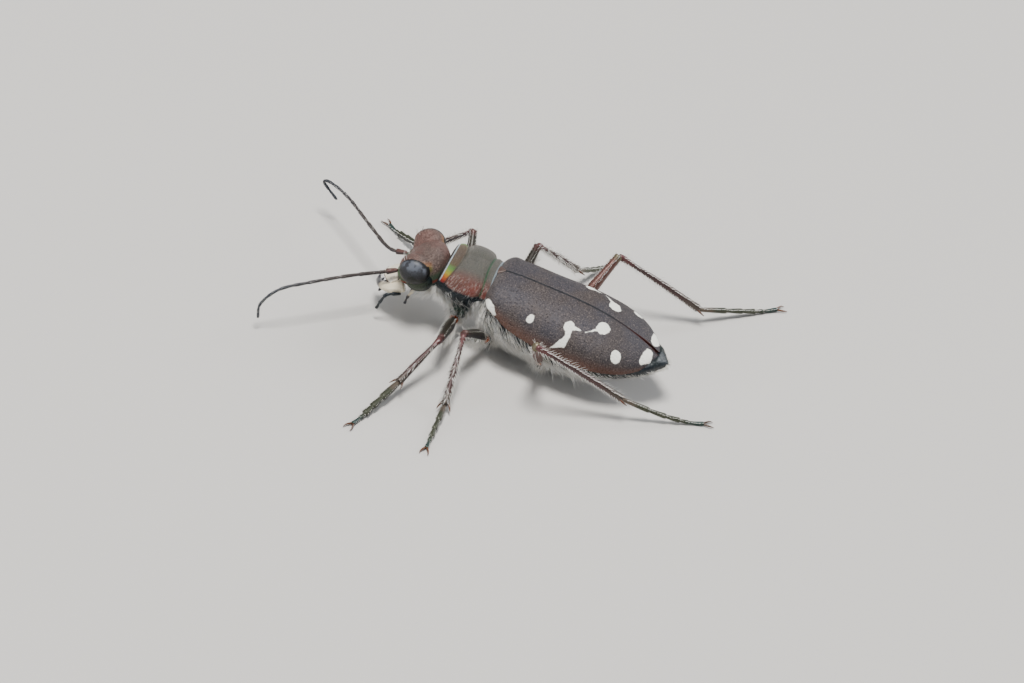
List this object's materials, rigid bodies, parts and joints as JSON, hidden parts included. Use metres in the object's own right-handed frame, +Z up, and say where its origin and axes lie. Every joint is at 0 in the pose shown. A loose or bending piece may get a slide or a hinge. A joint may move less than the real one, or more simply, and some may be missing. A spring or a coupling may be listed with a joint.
{
  "type": "tiger beetle",
  "caption": "Life-size tiger beetle standing high on long legs, with spread feelers, large eyes, crossed jaws and ivory spots on dull brown wing cases.",
  "frame": {"origin": "middle of the bounding box at the floor", "axes": "+Z up, -Y the way the head looks, +X the beetle's left"},
  "size_m": [0.0176, 0.0192, 0.0037],
  "materials": {
    "wing_case": "dull purple-brown wing cases, finely pitted, with coppery edges and ivory spots",
    "bronze": "coppery red-brown, finely wrinkled, with a metallic sheen",
    "eye": "dark slate, glossy",
    "ivory": "ivory, satin",
    "jaw": "blue-black with ivory jaw bases",
    "belly": "dark metallic blue-green with white bristles",
    "leg": "coppery to purple-red, bristly",
    "foot": "metallic green, bristly",
    "feeler": "coppery bases and dull brown outer segments"
  },
  "bodies": {
    "root": {"head": "bronze", "labrum": "ivory", "eye_left": "eye", "mandible_left": "jaw", "palp_maxillary_left": "jaw", "palp_labial_left": "jaw", "eye_right": "eye", "mandible_right": "jaw", "palp_maxillary_right": "jaw", "palp_labial_right": "jaw", "antenna_left": "feeler", "antenna_right": "feeler", "pronotum": "bronze", "scutellum": "bronze", "elytron_left": "wing_case", "elytron_right": "wing_case", "thorax": "belly", "abdomen": "belly", "coxa_front_left": "belly", "femur_front_left": "leg", "tibia_front_left": "leg", "tarsus_front_left": "foot", "coxa_mid_left": "belly", "femur_mid_left": "leg", "tibia_mid_left": "leg", "tarsus_mid_left": "foot", "coxa_hind_left": "belly", "femur_hind_left": "leg", "tibia_hind_left": "leg", "tarsus_hind_left": "foot", "coxa_front_right": "belly", "femur_front_right": "leg", "tibia_front_right": "leg", "tarsus_front_right": "foot", "coxa_mid_right": "belly", "femur_mid_right": "leg", "tibia_mid_right": "leg", "tarsus_mid_right": "foot", "coxa_hind_right": "belly", "femur_hind_right": "leg", "tibia_hind_right": "leg", "tarsus_hind_right": "foot"}
  },
  "joints": []
}
